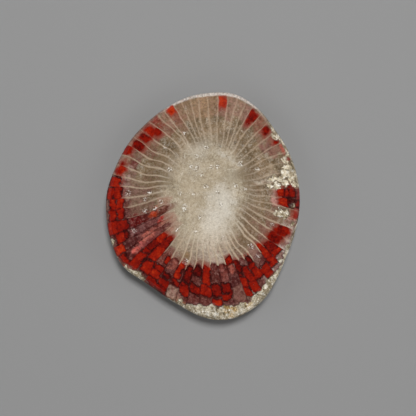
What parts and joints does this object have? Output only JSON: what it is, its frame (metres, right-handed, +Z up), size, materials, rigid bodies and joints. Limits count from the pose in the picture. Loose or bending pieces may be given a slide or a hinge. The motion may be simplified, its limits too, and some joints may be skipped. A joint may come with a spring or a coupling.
{
  "type": "polished fossil coral slice",
  "caption": "Polished slice of a fossil horn coral with radiating septa, red agate chambers and rough pale rind, lying on a flat sawn back.",
  "frame": {"origin": "centre of the slice's bounding box, on the plane of its flat sawn back", "axes": "+Z up through the thickness to the polished face; +Y along the slice's length, up in the picture; +X to the picture's right"},
  "size_m": [0.0324, 0.0381, 0.006],
  "materials": {
    "polished_coral": "polished chalcedony, opaque to slightly translucent, matte sawn back and rough rind"
  },
  "bodies": {
    "root": {"coral_slice": "polished_coral"}
  },
  "joints": []
}
